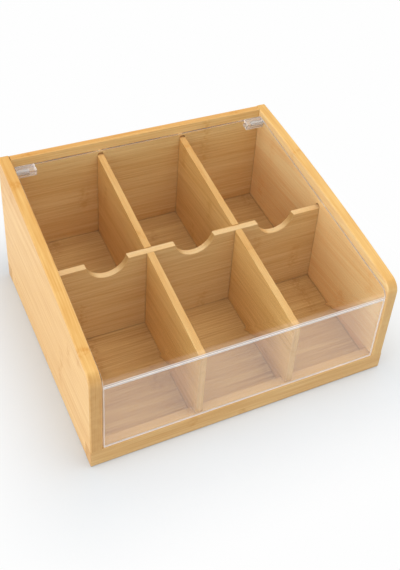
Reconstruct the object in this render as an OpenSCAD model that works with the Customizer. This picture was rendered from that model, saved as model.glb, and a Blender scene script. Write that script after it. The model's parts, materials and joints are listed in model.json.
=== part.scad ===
// Tea bag organizer: a bamboo box with six compartments under a hinged clear lid.
// Z = 0 is the surface it stands on, X = 0 is its middle, and the front faces -Y.
// All sizes are in millimetres.

/* [Box] */
// Overall width
box_w = 220; // [190:1:260]
// Overall depth
box_d = 194; // [180:1:210]
// Height of the side panels at the back
back_h = 112.3; // [108:0.1:120]
// Height of the side panels at the front, before the corner is rounded
front_h = 80.8; // [76:0.1:84]
// Radius of the long convex curve along the top of each side panel
top_r = 1600; // [1200:10:2400]
// Radius of the rounded front corner of each side panel
corner_r = 10; // [4:0.5:14]
// Thickness of the side panels
side_t = 8; // [7:0.5:10]
// Thickness of the back panel
back_t = 5.5; // [4.5:0.5:8]
// Width of the eased edges
ease = 0.7; // [0.3:0.1:1.2]

/* [Base frame and floor] */
// Height of the four rails
rail_h = 14.2; // [12:0.1:16]
// Thickness of the front and rear rails
rail_t = 10.2; // [8:0.1:12]
// Height of the top of the floor halfway along the box
floor_mid_z = 16; // [15:0.5:20]
// Slope of the floor, falling to the front
floor_tilt = 6.3; // [4:0.1:7]
// Thickness of the floor panel
floor_t = 5; // [3:0.5:5]

/* [Dividers] */
// Thickness of all three dividers
div_t = 5; // [4:0.5:6]
// Distance of each long divider from the middle of the box
div_x = 34; // [28:0.5:38]
// Height of the long dividers halfway along the box
div_mid_z = 82.7; // [78:0.1:84]
// Slope of the tops of the long dividers
div_tilt = 10.1; // [8:0.1:11]
// Radius of the top front corner of the long dividers
div_corner_r = 2.5; // [1:0.5:5]
// How far the foot of each long divider reaches over the front rail
foot_step = 5.7; // [2:0.1:7]
// Place of the middle of the cross divider along the box
cross_y = -4.6; // [-10:0.1:5]
// Height of the cross divider
cross_z = 81.7; // [76:0.1:83]
// Height where the dividers lap over each other
lap_z = 48; // [40:1:60]
// Depth of the grooves that hold the dividers
groove_depth = 2; // [1:0.5:3]
// Width of each finger notch at the top
notch_w = 30; // [24:1:36]
// Depth of each finger notch
notch_depth = 12; // [8:0.5:14]
// Distance of the outer finger notches from the middle
notch_x = 65; // [62:0.5:70]

/* [Lid] */
// Thickness of the clear sheet
lid_t = 2.5; // [2:0.5:3]
// Gap between the lid and each side panel
lid_gap = 1; // [0.6:0.1:2]
// Slope of the lid's flat top
lid_tilt = 9.7; // [9:0.1:10.5]
// Height of the lid's upper surface halfway along the box
lid_mid_z = 93.5; // [93:0.1:95]
// Gap between the lid's rear edge and the back panel
lid_rear_gap = 4.5; // [4.5:0.1:6]
// How far the front plate stands behind the front of the box
plate_inset = 0.7; // [0.4:0.1:1.5]
// Outer radius of the bend at the lid's front
bend_r = 7; // [5:0.5:9]
// Height of the seam between the bent sheet and the front plate
seam_z = 69; // [64:0.5:70]
// Gap under the front plate when the lid is shut
plate_gap = 0.2; // [0.1:0.1:0.5]

/* [Hinge] */
// Length of each hinge block, across the box
block_l = 15; // [12:0.5:20]
// Depth of each hinge block, along the sheet
block_d = 6; // [5:0.5:7]
// Height of each hinge block, under the sheet
block_h = 5; // [4.5:0.5:6]
// Diameter of the hinge pins
pin_d = 3; // [2:0.5:3]
// Length of each pin inside its block
pin_in_block = 10; // [8:0.5:11]
// Length of each pin inside its side panel
pin_in_side = 5; // [3:0.5:6]
// Running clearance around the pin in the side panel
pin_play = 0.05; // [0.02:0.01:0.1]
// Free depth of each bore beyond the end of its pin
bore_end = 0.5; // [0.3:0.1:1]
// Width of the chamfer at the pin's outer end
pin_tip = 0.3; // [0.2:0.1:0.5]

/* [Hidden] */
bamboo = "#E2B06A";
bamboo_inner = "#B98A50";
acrylic = "#DDE6EA";
steel = "#B8BCC0";
round_fn = 72;
arc_fn = 720;
// A little extra, so that a cut goes clear through a face
over = 1;

front_y = -box_d / 2;
rear_y = box_d / 2;
inner_x = box_w / 2 - side_t;
back_inner_y = rear_y - back_t;
rail_inner_y = front_y + rail_t;

// The top curve is a circle through the panel's front and rear top corners.
rise = (back_h - front_h) / 2;
half_chord = norm([box_d / 2, rise]);
arc_drop = sqrt(top_r * top_r - half_chord * half_chord);
arc_y = arc_drop * rise / half_chord;
arc_z = (back_h + front_h) / 2 - arc_drop * (box_d / 2) / half_chord;
// The small corner circle touches the top curve and the front face.
corner_y = front_y + corner_r;
corner_z = arc_z + sqrt(pow(top_r - corner_r, 2) - pow(corner_y - arc_y, 2));
tangent_y = arc_y + (corner_y - arc_y) * top_r / (top_r - corner_r);

function floor_z(y) = floor_mid_z + tan(floor_tilt) * y;
function div_top(y) = div_mid_z + tan(div_tilt) * y;
function lid_top_z(y) = lid_mid_z + tan(lid_tilt) * y;

div_rear_y = back_inner_y + groove_depth;
div_front_y = rail_inner_y - foot_step;
notch_r = (pow(notch_w / 2, 2) + notch_depth * notch_depth) / (2 * notch_depth);

lid_w = 2 * (inner_x - lid_gap);
plate_y = front_y + plate_inset;
lid_rear_y = back_inner_y - lid_rear_gap;
bend_y = plate_y + bend_r;
bend_z = lid_top_z(bend_y) - bend_r / cos(lid_tilt);

// A point measured from the sheet's rear edge, forward along it and down from its upper face
function sheet_point(along, down) = [
  lid_rear_y - along * cos(lid_tilt) + down * sin(lid_tilt),
  lid_top_z(lid_rear_y) - along * sin(lid_tilt) - down * cos(lid_tilt)
];

// The hinge line is the middle of the block under the sheet.
hinge = sheet_point(block_d / 2, lid_t + block_h / 2);
hinge_y = hinge[0];
hinge_z = hinge[1];

// A disc that stands on edge, with its axis along X and an eased rim
module standing_disc(radius, thick, fn) {
  rotate([0, 90, 0])
    rotate_extrude($fn = fn)
      polygon([
        [0, 0], [radius - ease, 0], [radius, ease],
        [radius, thick - ease], [radius - ease, thick], [0, thick]
      ]);
}

// A profile drawn in the Y-Z plane and extruded along X, centred on X = 0
module along_x(width) {
  translate([-width / 2, 0, 0])
    rotate([90, 0, 90])
      linear_extrude(height = width)
        children();
}

// A groove with a round upper end, cut into a face that looks along +X
module groove(depth, low_z, high_z) {
  translate([-depth, -div_t / 2, low_z])
    cube([depth + over, div_t, high_z - low_z]);
  translate([-depth, 0, high_z])
    rotate([0, 90, 0])
      cylinder(d = div_t, h = depth + over, $fn = round_fn);
}

// Side panel, drawn as the left one, with its outer face at X = 0
module side_panel() {
  difference() {
    union() {
      intersection() {
        translate([0, arc_y, arc_z])
          standing_disc(top_r, side_t, arc_fn);
        translate([-over, tangent_y, rail_h])
          cube([side_t + 2 * over, rear_y - tangent_y, back_h]);
      }
      translate([0, corner_y, corner_z])
        standing_disc(corner_r, side_t, round_fn);
      translate([0, 0, rail_h])
        linear_extrude(height = corner_z - rail_h)
          polygon([
            [0, front_y + ease], [ease, front_y], [side_t - ease, front_y],
            [side_t, front_y + ease], [side_t, corner_y], [0, corner_y]
          ]);
    }
    translate([side_t, cross_y, 0])
      groove(groove_depth, rail_h - over, cross_z);
    translate([side_t - pin_in_side - bore_end, hinge_y, hinge_z])
      rotate([0, 90, 0])
        cylinder(r = pin_d / 2 + pin_play, h = side_t, $fn = round_fn);
  }
}

module left_side() {
  color(bamboo)
    translate([-box_w / 2, 0, 0])
      side_panel();
}

module right_side() {
  color(bamboo)
    mirror([1, 0, 0])
      translate([-box_w / 2, 0, 0])
        side_panel();
}

// Back panel between the sides, with a groove for the end of each long divider
module back_panel() {
  color(bamboo)
    difference() {
      along_x(2 * inner_x)
        polygon([
          [back_inner_y, rail_h], [rear_y, rail_h],
          [rear_y, back_h - ease], [rear_y - ease, back_h],
          [back_inner_y + ease, back_h], [back_inner_y, back_h - ease]
        ]);
      for (x = [-div_x, div_x])
        translate([x, back_inner_y, 0])
          rotate([0, 0, -90])
            groove(groove_depth, rail_h - over, div_top(back_inner_y));
    }
}

// Full-width rail, eased along its lower outer edge, drawn as the front one
module cross_rail() {
  along_x(box_w)
    polygon([
      [front_y, ease], [front_y + ease, 0],
      [rail_inner_y, 0], [rail_inner_y, rail_h], [front_y, rail_h]
    ]);
}

module front_rail() {
  color(bamboo)
    cross_rail();
}

module rear_rail() {
  color(bamboo)
    mirror([0, 1, 0])
      cross_rail();
}

// Side rail under a side panel, between the cross rails, drawn as the left one
module side_rail() {
  translate([0, -rail_inner_y, 0])
    rotate([90, 0, 0])
      linear_extrude(height = -2 * rail_inner_y)
        polygon([
          [-box_w / 2 + ease, 0], [-inner_x, 0], [-inner_x, rail_h],
          [-box_w / 2, rail_h], [-box_w / 2, ease]
        ]);
}

module left_rail() {
  color(bamboo)
    side_rail();
}

module right_rail() {
  color(bamboo)
    mirror([1, 0, 0])
      side_rail();
}

// Floor of all six compartments, sloping down to the front
module floor_panel() {
  color(bamboo_inner)
    along_x(2 * inner_x)
      polygon([
        [rail_inner_y, floor_z(rail_inner_y) - floor_t], [back_inner_y, floor_z(back_inner_y) - floor_t],
        [back_inner_y, floor_z(back_inner_y)], [rail_inner_y, floor_z(rail_inner_y)]
      ]);
}

// Long divider: it stands on the floor, and its foot steps over the front rail
module long_divider() {
  corner = [div_front_y + div_corner_r, div_top(div_front_y + div_corner_r) - div_corner_r];
  along_x(div_t)
    difference() {
      polygon([
        [div_front_y, rail_h], [div_front_y, div_top(div_front_y)],
        [div_rear_y, div_top(div_rear_y)], [div_rear_y, floor_z(div_rear_y)],
        [rail_inner_y, floor_z(rail_inner_y)], [rail_inner_y, rail_h]
      ]);
      difference() {
        translate([div_front_y - over, corner[1]])
          square([div_corner_r + over, 2 * div_corner_r]);
        translate(corner)
          circle(r = div_corner_r, $fn = round_fn);
      }
      translate([cross_y - div_t / 2, lap_z])
        square([div_t, div_top(cross_y) - lap_z + 2 * over]);
    }
}

module long_divider_left() {
  color(bamboo_inner)
    translate([-div_x, 0, 0])
      long_divider();
}

module long_divider_right() {
  color(bamboo_inner)
    translate([div_x, 0, 0])
      long_divider();
}

// Cross divider with three finger notches, lapped over the two long dividers
module cross_divider() {
  low_y = cross_y - div_t / 2;
  high_y = cross_y + div_t / 2;
  color(bamboo_inner)
    difference() {
      along_x(2 * (inner_x + groove_depth))
        polygon([
          [low_y, floor_z(low_y)], [high_y, floor_z(high_y)],
          [high_y, cross_z], [low_y, cross_z]
        ]);
      for (x = [-div_x, div_x])
        translate([x - div_t / 2, low_y - over, 0])
          cube([div_t, div_t + 2 * over, lap_z]);
      for (x = [-notch_x, 0, notch_x])
        translate([x, high_y + over, cross_z - notch_depth + notch_r])
          rotate([90, 0, 0])
            cylinder(r = notch_r, h = div_t + 2 * over, $fn = 2 * round_fn);
    }
}

// The space under the lid's outer face, moved in from that face by the inset
module lid_outline(inset, low_z) {
  centre = [bend_y, bend_z];
  difference() {
    polygon([
      [plate_y + inset, low_z], [plate_y + inset, lid_top_z(plate_y + inset) - inset / cos(lid_tilt)],
      sheet_point(-inset, inset), sheet_point(-inset, 2 * (lid_t + inset)), [bend_y + bend_r, low_z]
    ]);
    difference() {
      polygon([
        centre, [plate_y - over, bend_z], [plate_y - over, bend_z + 2 * bend_r],
        centre + 2 * bend_r * [-sin(lid_tilt), cos(lid_tilt)]
      ]);
      translate(centre)
        circle(r = bend_r - inset, $fn = 2 * round_fn);
    }
  }
}

// Lid sheet: a flat top that bends down at the front to the seam
module lid_top() {
  color(acrylic, 0.4)
    along_x(lid_w)
      difference() {
        lid_outline(0, seam_z);
        lid_outline(lid_t, seam_z - over);
      }
}

// Front plate, glued edge to edge under the bent sheet
module lid_front() {
  color(acrylic, 0.4)
    translate([-lid_w / 2, plate_y, rail_h + plate_gap])
      cube([lid_w, lid_t, seam_z - rail_h - plate_gap]);
}

// Hinge block under the rear corner of the sheet, drawn as the left one
module hinge_block() {
  difference() {
    translate([-lid_w / 2, hinge_y, hinge_z])
      rotate([lid_tilt, 0, 0])
        translate([0, -block_d / 2, -block_h / 2])
          cube([block_l, block_d, block_h]);
    translate([-lid_w / 2 - over, hinge_y, hinge_z])
      rotate([0, 90, 0])
        cylinder(d = pin_d, h = pin_in_block + over, $fn = round_fn);
  }
}

module hinge_block_left() {
  color(acrylic, 0.5)
    hinge_block();
}

module hinge_block_right() {
  color(acrylic, 0.5)
    mirror([1, 0, 0])
      hinge_block();
}

// Hinge pin, pressed into its block and free to turn in the side panel
module hinge_pin() {
  pin_len = pin_in_block + lid_gap + pin_in_side;
  translate([-inner_x - pin_in_side, hinge_y, hinge_z])
    rotate([0, 90, 0])
      rotate_extrude($fn = round_fn)
        polygon([
          [0, 0], [pin_d / 2 - pin_tip, 0], [pin_d / 2, pin_tip], [pin_d / 2, pin_len], [0, pin_len]
        ]);
}

module hinge_pin_left() {
  color(steel)
    hinge_pin();
}

module hinge_pin_right() {
  color(steel)
    mirror([1, 0, 0])
      hinge_pin();
}

left_side();
right_side();
back_panel();
front_rail();
rear_rail();
left_rail();
right_rail();
floor_panel();
long_divider_left();
long_divider_right();
cross_divider();
lid_top();
lid_front();
hinge_block_left();
hinge_block_right();
hinge_pin_left();
hinge_pin_right();
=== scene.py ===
# %% [markdown]
# # A bamboo tea box with a hinged clear lid
# This lesson dresses a finished CAD model: eleven pieces of laminated bamboo make the box, and a bent clear
# sheet, a clear plate, two blocks and two steel pins make its lid. The shapes are right already, so the work
# here is in the edges, the bamboo, the acrylic, the light and the camera. Units are metres throughout.

# %% Load the frame
import json
import math

import bpy
from mathutils import Matrix, Vector


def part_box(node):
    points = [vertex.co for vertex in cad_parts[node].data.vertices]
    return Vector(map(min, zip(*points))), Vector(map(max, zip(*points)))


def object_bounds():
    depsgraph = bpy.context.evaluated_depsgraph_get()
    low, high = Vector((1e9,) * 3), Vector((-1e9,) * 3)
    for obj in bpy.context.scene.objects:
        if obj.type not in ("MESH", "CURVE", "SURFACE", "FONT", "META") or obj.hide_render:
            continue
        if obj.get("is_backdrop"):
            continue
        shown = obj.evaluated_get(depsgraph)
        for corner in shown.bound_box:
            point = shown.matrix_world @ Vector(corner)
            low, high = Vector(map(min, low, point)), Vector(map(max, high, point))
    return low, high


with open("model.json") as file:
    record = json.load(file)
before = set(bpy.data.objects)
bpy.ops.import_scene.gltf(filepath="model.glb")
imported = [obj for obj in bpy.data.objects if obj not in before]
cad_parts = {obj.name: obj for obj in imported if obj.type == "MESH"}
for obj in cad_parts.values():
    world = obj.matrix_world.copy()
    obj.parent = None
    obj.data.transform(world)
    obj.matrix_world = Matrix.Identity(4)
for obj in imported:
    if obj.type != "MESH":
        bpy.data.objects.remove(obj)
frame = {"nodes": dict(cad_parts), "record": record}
cad_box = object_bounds()
nodes = frame["nodes"]
MM = 0.001
print("pieces:", len(nodes), "box in mm:", [round(side / MM, 1) for side in cad_box[1] - cad_box[0]])

# %% [markdown]
# ## Eased edges
# A cutter or sandpaper takes the sharpness off every wooden edge, and a narrow bright line runs along it
# where it catches the light. A bevel node could fake the line, but only in this renderer. A Bevel modifier
# rounds the mesh itself, and leaves the CAD mesh below it as it was. The imported faces don't share their
# corner points, so a Weld modifier joins them first, and weighted normals keep the flat faces flat. The pins
# are plain rod, so they are only shaded smooth.

# %% Round the edges
WOOD_EDGE = 0.45 * MM
CLEAR_EDGE = 0.15 * MM
WELD_GAP = 0.001 * MM
SHARP_CORNER = math.radians(30)


def ease_edges(piece, width):
    """Rounds the sharp edges of a piece to that width."""
    weld = piece.modifiers.new("weld", "WELD")
    weld.merge_threshold = WELD_GAP
    bevel = piece.modifiers.new("bevel", "BEVEL")
    bevel.width, bevel.segments = width, 2
    bevel.limit_method, bevel.angle_limit = "ANGLE", SHARP_CORNER
    bevel.use_clamp_overlap = True
    normals = piece.modifiers.new("normals", "WEIGHTED_NORMAL")
    normals.keep_sharp = False


clear_pieces = ("lid_top", "lid_front", "hinge_block_left", "hinge_block_right")
pins = ("hinge_pin_left", "hinge_pin_right")
for name, piece in nodes.items():
    for polygon in piece.data.polygons:
        polygon.use_smooth = True
    if name not in pins:
        ease_edges(piece, CLEAR_EDGE if name in clear_pieces else WOOD_EDGE)
print("eased:", len(nodes) - len(pins), "pieces")

# %% [markdown]
# ## Colours and shader nodes
# A colour picked from a screen is sRGB, while the renderer adds light in linear values, so one function
# turns a hex code into linear numbers. A second one adds a shader node, sets it and links it, and a third one
# starts an empty material. Every finish below is written with these three. A Mix node has its sockets for
# numbers and for colours side by side, so they are picked by number: 0 is the factor, 2 and 3 are the two
# numbers, 6 and 7 are the two colours, and a mixed colour comes out of output 2.

# %% Helpers for the finishes
def linear(code):
    """Turns an sRGB hex code into a linear colour."""
    parts = [int(code[i:i + 2], 16) / 255 for i in (1, 3, 5)]
    return tuple(c / 12.92 if c <= 0.04045 else ((c + 0.055) / 1.055) ** 2.4 for c in parts) + (1.0,)


def add(tree, kind, inputs=None, **settings):
    """Adds a shader node. Settings are its properties, and inputs are its sockets, which take a value or the
    output that is linked to them."""
    made = tree.nodes.new("ShaderNode" + kind)
    for key, value in settings.items():
        setattr(made, key, value)
    for socket, value in (inputs or {}).items():
        if isinstance(value, bpy.types.NodeSocket):
            tree.links.new(value, made.inputs[socket])
        else:
            made.inputs[socket].default_value = value
    return made


def new_material(name):
    """Returns a new material, its node tree and its output node."""
    material = bpy.data.materials.new(name)
    material.use_nodes = True
    material.node_tree.nodes.clear()
    return material, material.node_tree, add(material.node_tree, "OutputMaterial")


print("middle grey is", round(linear("#808080")[0], 3), "in linear light")

# %% [markdown]
# ## Laminated bamboo
# The boards are pressed from split strips of bamboo, sanded and sprayed with a satin lacquer. The eye sees
# strips that differ a little in tone, soft streaks a few millimetres wide, fine straight fibres, and now and
# then a knot. A cut edge shows the thin layers of the board instead. An image could show all this, but noise
# that is stretched along the grain fits every board, in any direction, and has no seams. The fibres are
# really 0.3 mm apart. They are drawn 0.6 mm apart, so that they still show in the picture.

# %% Noise along the grain
STREAK = (4.5 * MM, 110 * MM)
FIBRE = (0.6 * MM, 55 * MM)
LAYER = (0.9 * MM, 50 * MM)


def grain_noise(tree, place, shift, size, long_axes, detail=2.0, roughness=0.6):
    """Noise whose marks have that width and length. The length lies along the long axes."""
    width, length = size
    scale = [1 / (length if axis in long_axes else width) for axis in "XYZ"]
    spot = add(tree, "Mapping", {"Vector": place, "Location": shift, "Scale": scale}).outputs[0]
    sockets = {"Vector": spot, "Scale": 1.0, "Detail": detail, "Roughness": roughness}
    return add(tree, "TexNoise", sockets).outputs[0]


for mark, size in (("streak", STREAK), ("fibre", FIBRE), ("layer", LAYER)):
    print(mark, "width and length in mm:", [round(side / MM, 1) for side in size])

# %% [markdown]
# ## Strips
# A strip is some 20 mm wide and comes from a cane of its own, so its tone differs from that of the strip
# beside it. Separate meshes for the strips would need joints, which boards that are pressed and sanded flush
# don't show. Here the place on the board is rounded down to whole strips, which gives each strip a number,
# and white noise turns the number into one tone for the whole strip.

# %% One tone for each strip
STRIP = 20 * MM


def strip_tone(tree, place, shift, strips):
    """A value from 0 to 1 for each strip, counted along the strips axis."""
    scale = [1 / STRIP if axis == strips else 0.0 for axis in "XYZ"]
    counted = add(tree, "Mapping", {"Vector": place, "Location": shift, "Scale": scale}).outputs[0]
    number = add(tree, "VectorMath", {0: counted}, operation="FLOOR").outputs[0]
    return add(tree, "TexWhiteNoise", {"Vector": number}, noise_dimensions="3D").outputs["Value"]


print("strips over the box's height:", round((cad_box[1][2] - cad_box[0][2]) / STRIP, 1))

# %% [markdown]
# ## Knots
# A cane has a ring every 170 mm or so. On a strip the ring is a short darker band, and the bands of two
# strips seldom line up. Noise alone would scatter spots, and a plain wave along the board would draw lines
# right across it. Here the wave starts at another place in each strip and wavers a little with the streaks,
# and a blotchy noise breaks the band up, because the fibres part around a ring.

# %% The knots
KNOT_EVERY = 170 * MM
KNOT_REACH = 6 * MM
KNOT_BLOTCH = (3 * MM, 3 * MM)
BLOTCH_RANGE = (0.42, 0.62)
STRIP_TURNS = 7.31  # the strips start their waves within this many turns of each other
STREAK_TURNS = 0.02  # the streaks move a knot by up to half this share of a turn


def knots(tree, along, strip, streaks, blotch):
    """How deep a point lies in a knot, from 0 to 1. One turn is a length of the strip with one knot in it."""
    turns = -STREAK_TURNS / 2
    for value, share in ((along, 1 / KNOT_EVERY), (strip, STRIP_TURNS), (streaks, STREAK_TURNS)):
        turns = add(tree, "Math", {0: value, 1: share, 2: turns}, operation="MULTIPLY_ADD").outputs[0]
    wave = add(tree, "Math", {0: turns, 1: 0.5}, operation="PINGPONG").outputs[0]
    near = add(tree, "MapRange", {"Value": wave, "From Min": 0.5 - KNOT_REACH / KNOT_EVERY, "From Max": 0.5},
               interpolation_type="SMOOTHSTEP").outputs[0]
    low, high = BLOTCH_RANGE
    ragged = add(tree, "MapRange", {"Value": blotch, "From Min": low, "From Max": high}).outputs[0]
    return add(tree, "Math", {0: near, 1: ragged}, operation="MULTIPLY").outputs[0]


print("knots in each strip of the back:", round((cad_box[1][0] - cad_box[0][0]) / KNOT_EVERY, 1))

# %% [markdown]
# ## Cut sides
# A board's faces, edges and ends look different. An edge shows the layers and is more orange, and an end is
# duller, because all its fibres are cut. The tones of faces and edges are partly painted light as well: on
# the walls the edges are the tops, whose tone stands partly for the light from above, and the pale outer
# faces stand partly for the bright light on them. Each side could have a material of its own, but then the
# change would be a hard line in the middle of the rounded corner. Here the shader looks at the way the
# surface faces, so that one finish runs into the next over the corner.

# %% Find the cut sides
CUT_RANGE = (0.4, 0.85)


def cut_sides(tree, facing, *axes):
    """For each of the axes, how far the surface faces along it, from 0 to 1."""
    low, high = CUT_RANGE
    turned = add(tree, "VectorMath", {0: facing}, operation="ABSOLUTE").outputs[0]
    parts = add(tree, "SeparateXYZ", {0: turned}).outputs
    return [add(tree, "MapRange", {"Value": parts[axis], "From Min": low, "From Max": high}).outputs[0]
            for axis in axes]


turns = [round(math.degrees(math.asin(part))) for part in CUT_RANGE]
print("over a corner the finish changes from", turns[0], "to", turns[1], "degrees off the face")

# %% [markdown]
# ## Painted shade in the joints
# The last millimetre before each joint is darkened with painted shade, where the boards shut out part of the
# light. Thin dark strips of mesh could lie along the joint lines, but the real joints have nothing that
# stands proud, and painting would need an unwrapped mesh. An ambient occlusion node measures how open the
# space over a point is, so it finds every joint by itself.

# %% Paint shade into the joints
JOINT_REACH = 1.2 * MM
JOINT_OPEN = (0.4, 0.9)
JOINT_SHADE = 0.72


def paint_joint_shade(tree, colour):
    """Returns the colour with painted shade next to the joints."""
    low, high = JOINT_OPEN
    # Painted shade: the ambient occlusion value darkens the colour where a corner or joint closes in the
    # space over it.
    open_air = add(tree, "AmbientOcclusion", {"Distance": JOINT_REACH}, samples=8).outputs["AO"]
    share = add(tree, "MapRange", {"Value": open_air, "From Min": low, "From Max": high,
                                   "To Min": JOINT_SHADE}).outputs[0]
    return add(tree, "VectorMath", {0: colour, "Scale": share}, operation="SCALE").outputs[0]


print("a joint keeps at least", JOINT_SHADE, "of the colour")

# %% [markdown]
# ## The lacquered surface
# The patterns add up to one tone, which picks a colour between a dark and a light one. An even stain would
# look like plastic, and real bamboo gets its life from the fibres, so they weigh most. The lacquer is satin:
# it is a thin film that mirrors little and follows the fibres faintly, so the bump is shallow, and the
# roughness changes with the fibres too.

# %% The bamboo shader
STRIP_SHARE = 0.25
STREAK_SHARE = 0.9
LINE_SHARE = 2.2
KNOT_SHARE = 0.5
LAYER_SHARE = 0.6
LINE_DEPTH = 0.2 * MM
LINE_BUMP = 0.12
LACQUER_IOR = 1.5
LACQUER_SHINE = 0.35
LACQUER_ROUGHNESS = (0.36, 0.50)


def bamboo(name, face, edge, end_grain, grain, strips, shift):
    """A bamboo board. Face and edge are each a dark and a light colour, grain is the axis along the fibres,
    strips is the axis across the strips, and shift is the board's own place in the noise."""
    material, tree, output = new_material(name)
    coordinates = add(tree, "TexCoord")
    place = coordinates.outputs["Object"]
    along = add(tree, "SeparateXYZ", {0: place}).outputs[grain]
    strip = strip_tone(tree, place, shift, strips)
    streaks = grain_noise(tree, place, shift, STREAK, grain, detail=3.0, roughness=0.55)
    fibres = grain_noise(tree, place, shift, FIBRE, grain)
    layers = grain_noise(tree, place, shift, LAYER, grain + strips)
    blotch = grain_noise(tree, place, shift, KNOT_BLOTCH, grain, detail=3.0, roughness=0.5)
    knot = knots(tree, along, strip, streaks, blotch)

    is_edge, is_end = cut_sides(tree, coordinates.outputs["Normal"], strips, grain)
    is_cut = add(tree, "Math", {0: is_edge, 1: is_end}, operation="MAXIMUM").outputs[0]
    layers = add(tree, "Math", {0: layers, 1: LAYER_SHARE, 2: (1 - LAYER_SHARE) / 2},
                 operation="MULTIPLY_ADD").outputs[0]
    lines = add(tree, "Mix", {0: is_cut, 2: fibres, 3: layers}, data_type="FLOAT").outputs[0]

    tone = 0.5 - (STRIP_SHARE + STREAK_SHARE + LINE_SHARE) / 2
    patterns = ((strip, STRIP_SHARE), (streaks, STREAK_SHARE), (lines, LINE_SHARE), (knot, -KNOT_SHARE))
    for value, share in patterns:
        tone = add(tree, "Math", {0: value, 1: share, 2: tone}, operation="MULTIPLY_ADD").outputs[0]
    face_colour, edge_colour = (
        add(tree, "Mix", {0: tone, 6: linear(dark), 7: linear(light)}, data_type="RGBA").outputs[2]
        for dark, light in (face, edge))
    colour = add(tree, "Mix", {0: is_edge, 6: face_colour, 7: edge_colour}, data_type="RGBA").outputs[2]
    colour = add(tree, "Mix", {0: is_end, 6: colour, 7: linear(end_grain)}, data_type="RGBA",
                 blend_type="MULTIPLY").outputs[2]

    smooth, rough = LACQUER_ROUGHNESS
    gloss = add(tree, "MapRange", {"Value": lines, "To Min": smooth, "To Max": rough}).outputs[0]
    bump = add(tree, "Bump", {"Height": lines, "Strength": LINE_BUMP, "Distance": LINE_DEPTH}).outputs[0]
    # The base colour carries the painted shade of the joints.
    surface = add(tree, "BsdfPrincipled", {
        "Base Color": paint_joint_shade(tree, colour), "Roughness": gloss, "IOR": LACQUER_IOR,
        "Specular IOR Level": LACQUER_SHINE, "Normal": bump})
    tree.links.new(surface.outputs[0], output.inputs["Surface"])
    return material


print("lacquer roughness from", LACQUER_ROUGHNESS[0], "to", LACQUER_ROUGHNESS[1])

# %% [markdown]
# ## One finish for each board
# Each board is cut from another blank, so it has its own place in the noise, and no two boards repeat. The
# grain runs across the box in the back, the floor, the cross divider and the front and rear rails, and from
# front to back in the sides, the long dividers and the side rails. One shared material would be shorter, but
# it couldn't turn the grain, and the boards differ in tone, the floor being the darkest.

# %% Dress the boards
# The face and edge colours are partly painted light: the edge colours tint the tops of the walls for the
# light from above, and the pale face colours stand partly for bright light.
SIDE_FACE = ("#E2AC67", "#FBD496")
INNER_SIDE = ("#F3C381", "#FFE1A6")
BACK = ("#DCAD66", "#F4D495")
RAIL = ("#CE9B58", "#E7C184")
FLOOR = ("#B2854B", "#D5AE71")
LONG = ("#D2A053", "#F1C983")
CROSS = ("#CFA160", "#E7C78E")
EDGE = ("#D29647", "#E9BF77")
BACK_EDGE = ("#CD8E42", "#E3B16A")
RAIL_EDGE = ("#CDA062", "#E2BC84")
LONG_EDGE = ("#DAA158", "#ECC381")
CROSS_EDGE = ("#E7B776", "#F2D39F")
END_GRAIN = "#E1D6C2"
PALE_END = "#FFF6EE"
# Each row: colours of the face and of the edge, tint of the ends, axis along the grain, axis across the
# strips, place in the noise
boards = {
    "left_side": (SIDE_FACE, EDGE, END_GRAIN, "Y", "Z", (3.1, 7.7, 1.3)),
    "right_side": (INNER_SIDE, EDGE, END_GRAIN, "Y", "Z", (8.4, 2.9, 5.2)),
    "left_rail": (SIDE_FACE, EDGE, END_GRAIN, "Y", "Z", (1.7, 9.3, 8.6)),
    "right_rail": (SIDE_FACE, EDGE, END_GRAIN, "Y", "Z", (6.3, 4.4, 2.1)),
    "back_panel": (BACK, BACK_EDGE, END_GRAIN, "X", "Z", (5.9, 1.2, 9.4)),
    "front_rail": (RAIL, RAIL_EDGE, PALE_END, "X", "Z", (2.6, 8.8, 4.7)),
    "rear_rail": (RAIL, RAIL_EDGE, PALE_END, "X", "Z", (9.7, 3.5, 6.8)),
    "floor_panel": (FLOOR, FLOOR, END_GRAIN, "X", "Y", (4.2, 6.1, 3.3)),
    "long_divider_left": (LONG, LONG_EDGE, PALE_END, "Y", "Z", (7.5, 5.6, 0.9)),
    "long_divider_right": (LONG, LONG_EDGE, PALE_END, "Y", "Z", (0.8, 2.3, 7.1)),
    "cross_divider": (CROSS, CROSS_EDGE, END_GRAIN, "X", "Z", (3.8, 0.4, 5.5)),
}
for name, look in boards.items():
    nodes[name].data.materials[0] = bamboo("laminated_bamboo_" + name, *look)
print("bamboo boards:", len(boards))

# %% [markdown]
# ## Milky places in clear plastic
# The lid is clear, but its sawn rims, its bend and its glued seam are milky, and show as thin light lines.
# Milky pieces of mesh could lie on the clear ones, but they would stand proud of them and catch the light.
# Bands in the material lie in the plastic itself. Each band is a range of places, and a Math node that
# compares a place with the middle of the range tells whether it lies inside.

# %% Milky bands
def milkiness(tree, place, haze, bands):
    """The share of milk at a place: the haze, or the highest of the bands that the place lies in. A band is
    (share, (axis, from, to), ...), where all the limits hold together, and X is measured to both sides."""
    parts = add(tree, "SeparateXYZ", {0: place})
    sideways = add(tree, "Math", {0: parts.outputs["X"]}, operation="ABSOLUTE").outputs[0]
    measures = {"X": sideways, "Y": parts.outputs["Y"], "Z": parts.outputs["Z"]}
    milk = haze
    for share, *limits in bands:
        amount = share
        for axis, start, end in limits:
            span = {0: measures[axis], 1: (start + end) / 2, 2: (end - start) / 2}
            inside = add(tree, "Math", span, operation="COMPARE").outputs[0]
            amount = add(tree, "Math", {0: inside, 1: amount}, operation="MULTIPLY").outputs[0]
        milk = add(tree, "Math", {0: milk, 1: amount}, operation="MAXIMUM").outputs[0]
    return milk


print("pieces with milky bands:", ", ".join(clear_pieces))

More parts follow.
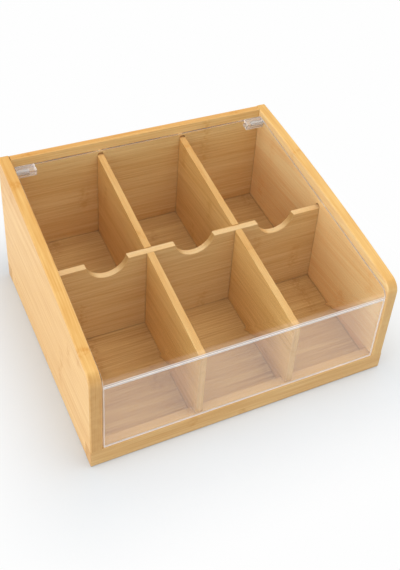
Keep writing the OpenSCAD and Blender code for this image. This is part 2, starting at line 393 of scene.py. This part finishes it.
# %% [markdown]
# ## Clear acrylic
# The lid is cast acrylic, clear all the way through, with an index of 1.49. A see-through colour would be
# simple, but the bright edges of real acrylic are light that travels inside the sheet, so the sheets are
# solids that refract. Light that falls through the lid onto the bamboo is let through straight, because a
# path tracer finds refracted lamps only by luck.

# %% The acrylic shader
ACRYLIC_IOR = 1.49
CLEAR = "#FDFDFD"
MILK = "#F8EDE4"
LET_THROUGH = "#FCFCFC"


def acrylic(name, haze, roughness, bands, origin=(0, 0, 0), tilt=0.0):
    """Clear acrylic with haze and milky bands, which are measured from the origin and tilted about X."""
    material, tree, output = new_material(name)
    place = add(tree, "TexCoord").outputs["Object"]
    own_place = add(tree, "Mapping", {"Vector": place, "Location": origin, "Rotation": (tilt, 0, 0)},
                    vector_type="TEXTURE").outputs[0]
    milk = milkiness(tree, own_place, haze, bands)
    clear = add(tree, "Math", {0: 1.0, 1: milk}, operation="SUBTRACT").outputs[0]
    colour = add(tree, "Mix", {0: milk, 6: linear(CLEAR), 7: linear(MILK)}, data_type="RGBA").outputs[2]
    solid = add(tree, "BsdfPrincipled", {"Base Color": colour, "Roughness": roughness, "IOR": ACRYLIC_IOR,
                                         "Transmission Weight": clear})
    through = add(tree, "BsdfTransparent", {"Color": linear(LET_THROUGH)})
    ray = add(tree, "LightPath")
    passing = add(tree, "Math", {0: ray.outputs["Is Shadow Ray"], 1: ray.outputs["Is Diffuse Ray"]},
                  operation="MAXIMUM").outputs[0]
    both = add(tree, "MixShader", {0: passing, 1: solid.outputs[0], 2: through.outputs[0]})
    tree.links.new(both.outputs[0], output.inputs["Surface"])
    return material


reflected = ((ACRYLIC_IOR - 1) / (ACRYLIC_IOR + 1)) ** 2
print("a face of acrylic mirrors", round(100 * reflected, 1), "percent of the light that meets it squarely")

# %% [markdown]
# ## The bent sheet and the plate
# The sheet was heated and bent down at the front, which left the bend milky, with a light line on each side,
# and the plate is glued to it edge to edge. The plate's sawn foot and sides are milky too, and handling has
# made the plate slightly hazy. Their heights could be typed in, but then a change of the CAD model would
# leave the lines behind, so they are read from the pieces' own boxes.

# %% Dress the sheet and the plate
BEND_RISE = 1.7 * MM
LINE = 0.5 * MM
PLATE_RIM = 0.6 * MM
FOOT_RIM = 0.4 * MM
FOOT_FRONT = 1.0 * MM
FOOT_BACK = 3.0 * MM
PAST = 1.0 * MM  # a band reaches this far out past a face that belongs to it
OFF_GLUE = 0.001 * MM  # the lower line starts this far off the glued face, which is only as milky as the bend

side, sheet_back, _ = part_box("lid_top")[1]
(_, front, foot), (_, _, seam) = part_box("lid_front")
bend_top = seam + BEND_RISE
foot_rim = ("Z", foot - PAST, foot + FOOT_RIM)
sheet_bands = [
    (0.35, ("Z", seam - PAST, bend_top)),
    (0.95, ("Z", bend_top - LINE, bend_top)),
    (0.95, ("Z", seam + OFF_GLUE, seam + LINE)),
    (0.4, ("X", side - CLEAR_EDGE, side + PAST)),
    (0.12, ("Y", sheet_back - LINE, sheet_back + PAST)),
]
plate_bands = [
    (0.6, ("X", side - PLATE_RIM, side + PAST)),
    (0.9, foot_rim, ("Y", front - PAST, front + FOOT_FRONT)),
    (0.6, foot_rim, ("Y", front, front + FOOT_BACK)),
]
sheet = acrylic("cast_acrylic_sheet", haze=0.0, roughness=0.01, bands=sheet_bands)
plate = acrylic("cast_acrylic_plate", haze=0.05, roughness=0.02, bands=plate_bands)
nodes["lid_top"].data.materials[0] = sheet
nodes["lid_front"].data.materials[0] = plate
print("foot, seam and top of the bend in mm:", [round(height / MM, 1) for height in (foot, seam, bend_top)])

# %% [markdown]
# ## The hinge blocks
# The blocks are small offcuts of acrylic, glued under the sheet's rear corners. Their undersides and inner
# ends are sawn, which shows as light lines. The blocks slope with the lid, so their bands are measured from
# the hinge line, in axes that are tilted as the lid is. Turning the pieces upright first would be the other
# way, but a CAD piece has to stay where it is.

# %% Dress the hinge blocks
LID_SLOPE = math.radians(9.7)
BLOCK_HALF = 2.5 * MM
BLOCK_RIM = 0.9 * MM

hinge = frame["record"]["behaviour"]["joints"][0]["pos_m"]
for name in ("hinge_block_left", "hinge_block_right"):
    low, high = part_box(name)
    inner = min(abs(low[0]), abs(high[0]))
    block_bands = [
        (0.9, ("Z", -BLOCK_HALF + CLEAR_EDGE, -BLOCK_HALF + BLOCK_RIM)),
        (0.6, ("X", inner + CLEAR_EDGE, inner + BLOCK_RIM)),
    ]
    block = acrylic("cast_acrylic_" + name, haze=0.2, roughness=0.02, bands=block_bands,
                    origin=hinge, tilt=LID_SLOPE)
    nodes[name].data.materials[0] = block
print("hinge line in mm:", [round(part / MM, 1) for part in hinge])

# %% [markdown]
# ## Steel pins
# The pins are steel rod with white zinc plating, 3 mm thick, and show through the clear blocks as bright
# bars. A polished rod would mirror the dark inside of the box. Plating has a fine matt grain that scatters
# about half of the light, so the shader is part metal and part white, with faint drawing lines along the rod.

# %% Dress the pins
PLATING_METAL = 0.45
PLATING_ROUGHNESS = (0.42, 0.55)
PLATING = ("#F2F3F5", "#FDFDFE")
DRAWN_LINE = (0.2 * MM, 5 * MM)


def plated_steel(name):
    """Zinc-plated steel rod with fine lines along it, in the direction of X."""
    material, tree, output = new_material(name)
    place = add(tree, "TexCoord").outputs["Object"]
    width, length = DRAWN_LINE
    scale = (1 / length, 1 / width, 1 / width)
    spot = add(tree, "Mapping", {"Vector": place, "Scale": scale}).outputs[0]
    lines = add(tree, "TexNoise", {"Vector": spot, "Scale": 1.0}).outputs[0]
    smooth, rough = PLATING_ROUGHNESS
    gloss = add(tree, "MapRange", {"Value": lines, "To Min": smooth, "To Max": rough}).outputs[0]
    dark, light = PLATING
    colour = add(tree, "Mix", {0: lines, 6: linear(dark), 7: linear(light)}, data_type="RGBA").outputs[2]
    sockets = {"Base Color": colour, "Metallic": PLATING_METAL, "Roughness": gloss}
    surface = add(tree, "BsdfPrincipled", sockets)
    tree.links.new(surface.outputs[0], output.inputs["Surface"])
    return material


for name in pins:
    nodes[name].data.materials[0] = plated_steel("zinc_plated_steel_" + name)
print("pins:", len(pins))

# %% [markdown]
# ## The table
# The box stands on a plain white table, a wide plane of light grey that keeps the box's soft shadow. Near the
# box the grey is partly painted shade.
# A curved backdrop would also do, but it would need a bend far behind the box in every view. Here the paint
# turns to plain white for the camera with the distance from the box, so that table and backdrop meet without
# a line, while the light that the table throws back stays the same.

# %% Lay the table
TABLE_HALF = 6.0

table_mesh = bpy.data.meshes.new("table_top")
corners = [(x * TABLE_HALF, y * TABLE_HALF, 0.0) for x, y in ((-1, -1), (1, -1), (1, 1), (-1, 1))]
table_mesh.from_pydata(corners, [], [(0, 1, 2, 3)])
table = bpy.data.objects.new("table_top", table_mesh)
bpy.context.scene.collection.objects.link(table)
table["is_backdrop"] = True
print("table side in metres:", 2 * TABLE_HALF)

# %% [markdown]
# ## White paint that fades
# Matt paint is a plain diffuse shader. How far it has turned to white could go by the distance from the
# middle of the box, but then the corners would lose their shadow first. It goes by the distance from the
# box's outline on the table, so that the grey reaches equally far on all sides. That grey is partly painted
# shade: it is darker than the white farther off, and the box's real shadow falls on it as well.

# %% Paint the table
# The grey near the box is partly painted shade, and it fades into white over these distances.
SHADE_FADE = (-20 * MM, 90 * MM)  # distances from the box's outline
TABLE_GREY = "#D5D9DC"
WHITE = "#FEFEFE"

material, tree, output = new_material("white_table")
place = add(tree, "TexCoord").outputs["Object"]
outline = (cad_box[1][0], cad_box[1][1], 0)
past = add(tree, "VectorMath", {0: place}, operation="ABSOLUTE").outputs[0]
past = add(tree, "VectorMath", {0: past, 1: outline}, operation="SUBTRACT").outputs[0]
past = add(tree, "VectorMath", {0: past, 1: (0, 0, 0)}, operation="MAXIMUM").outputs[0]
distance = add(tree, "VectorMath", {0: past}, operation="LENGTH").outputs["Value"]
near, far = SHADE_FADE
faded = add(tree, "MapRange", {"Value": distance, "From Min": near, "From Max": far},
            interpolation_type="SMOOTHSTEP").outputs[0]
ray = add(tree, "LightPath")
faded = add(tree, "Math", {0: faded, 1: ray.outputs["Is Camera Ray"]}, operation="MULTIPLY").outputs[0]
paint = add(tree, "BsdfDiffuse", {"Color": linear(TABLE_GREY)})
white = add(tree, "Emission", {"Color": linear(WHITE), "Strength": 1.0})
both = add(tree, "MixShader", {0: faded, 1: paint.outputs[0], 2: white.outputs[0]})
tree.links.new(both.outputs[0], output.inputs["Surface"])
table_mesh.materials.append(material)
print("the table is white from", round(far / MM), "mm off the box")

# %% [markdown]
# ## The studio
# Clear plastic and metal look like what they mirror, and in an even white studio the flat lid would carry a
# white veil. A picture of a real studio would be one way out, but a few numbers do here. Rays that plastic
# and metal send out find white walls and a dark ceiling, so that the flat lid shows hardly any veil, and the
# upright plate a soft one. The wood gets an even light, and the camera sees plain white behind the box.

# %% Build the studio
SKY_LIGHT = 0.75
# Each pair is a height, as the sine of the angle above the horizon, and the brightness there
WALL_TOP, WALL_LEVEL = 0.05, 1.0
CEILING_START, CEILING_LEVEL = 0.4, 0.08

world = bpy.data.worlds.new("studio")
bpy.context.scene.world = world
world.use_nodes = True
tree = world.node_tree
tree.nodes.clear()
ray = add(tree, "LightPath")
height = add(tree, "SeparateXYZ", {0: add(tree, "TexCoord").outputs["Generated"]}).outputs["Z"]
mirrored = add(tree, "MapRange", {"Value": height, "From Min": WALL_TOP, "From Max": CEILING_START,
                                  "To Min": WALL_LEVEL, "To Max": CEILING_LEVEL}).outputs[0]
is_mirror = add(tree, "Math", {0: ray.outputs["Is Glossy Ray"], 1: ray.outputs["Is Transmission Ray"]},
                operation="MAXIMUM").outputs[0]
level = add(tree, "Mix", {0: is_mirror, 2: SKY_LIGHT, 3: mirrored}, data_type="FLOAT").outputs[0]
level = add(tree, "Mix", {0: ray.outputs["Is Camera Ray"], 2: level, 3: 1.0}, data_type="FLOAT").outputs[0]
studio = add(tree, "Background", {"Color": linear(WHITE), "Strength": level})
tree.links.new(studio.outputs[0], add(tree, "OutputWorld").inputs["Surface"])
print("the ceiling starts", round(math.degrees(math.asin(CEILING_START))), "degrees above the horizon")

# %% [markdown]
# ## Light
# One broad soft light hangs above the box, a little to its right, and lights the edges and the compartments.
# A second one stands low on the left and brightens the left face. The front is left to the light that comes
# back from the table. Small lamps would draw hard shadows into the compartments, which the real picture
# doesn't have. The overhead lamp is hidden from rays that the acrylic reflects or refracts, or its image in
# the sheet's two faces would lie over half the lid.

# %% Hang the soft lights
def soft_light(name, place, aim, size, power):
    """An area light of that width and depth in metres and power in watts, turned to a point."""
    lamp = bpy.data.lights.new(name, "AREA")
    lamp.shape, lamp.energy = "RECTANGLE", power
    lamp.size, lamp.size_y = size
    holder = bpy.data.objects.new(name, lamp)
    bpy.context.scene.collection.objects.link(holder)
    holder.location = place
    holder.rotation_euler = (Vector(aim) - Vector(place)).to_track_quat("-Z", "Y").to_euler()
    return holder


overhead = soft_light("overhead", place=(0.4, -0.25, 1.8), aim=(0.4, -0.25, 0), size=(2.4, 1.2), power=19.5)
overhead.visible_glossy = False
overhead.visible_transmission = False
left = soft_light("left", place=(-1.6, -0.1, 0.5), aim=(-0.1, 0, 0.05), size=(1.0, 1.0), power=9.0)
print("lamps in watts:", [holder.data.energy for holder in (overhead, left)])

# %% [markdown]
# ## Camera
# The camera looks down on the box from the front left. Its place, turn and focal length were worked out from
# the box's edges in the picture. The lens is raised a little from the middle of the picture, which keeps the
# upright edges as they are there.

# %% Place the camera
PICTURE = (400, 570)
SENSOR = 36.0
FOCAL_PIXELS = 842.97
MIDDLE = (191, 180)
TURN, DOWN, ROLL = (math.radians(angle) for angle in (27.152, 35.954, 3.740))
NEAREST, FARTHEST = 0.01, 50
camera_place = Vector((-211.491, -406.979, 462.607)) * MM

view = Vector((math.sin(TURN) * math.cos(DOWN), math.cos(TURN) * math.cos(DOWN), -math.sin(DOWN)))
level_right = Vector((math.cos(TURN), -math.sin(TURN), 0))
level_up = level_right.cross(view)
right = level_right * math.cos(ROLL) + level_up * math.sin(ROLL)
up = level_up * math.cos(ROLL) - level_right * math.sin(ROLL)

camera_data = bpy.data.cameras.new("camera")
camera_data.sensor_width = SENSOR
camera_data.lens = FOCAL_PIXELS * SENSOR / PICTURE[1]
camera_data.shift_x = (PICTURE[0] / 2 - MIDDLE[0]) / PICTURE[1]
camera_data.shift_y = (MIDDLE[1] - PICTURE[1] / 2) / PICTURE[1]
camera_data.clip_start, camera_data.clip_end = NEAREST, FARTHEST
camera = bpy.data.objects.new("camera", camera_data)
bpy.context.scene.collection.objects.link(camera)
camera.matrix_world = Matrix.Translation(camera_place) @ Matrix((right, up, -view)).transposed().to_4x4()
bpy.context.scene.camera = camera
bpy.context.scene.view_settings.view_transform = "Standard"
print("lens in mm:", round(camera_data.lens, 2))

# %% Measure the change in size and finish
dressed_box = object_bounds()
drift = max(abs(part) for old, new in zip(cad_box, dressed_box) for part in new - old)
print("the box has changed by", round(drift / MM, 5), "mm at most")
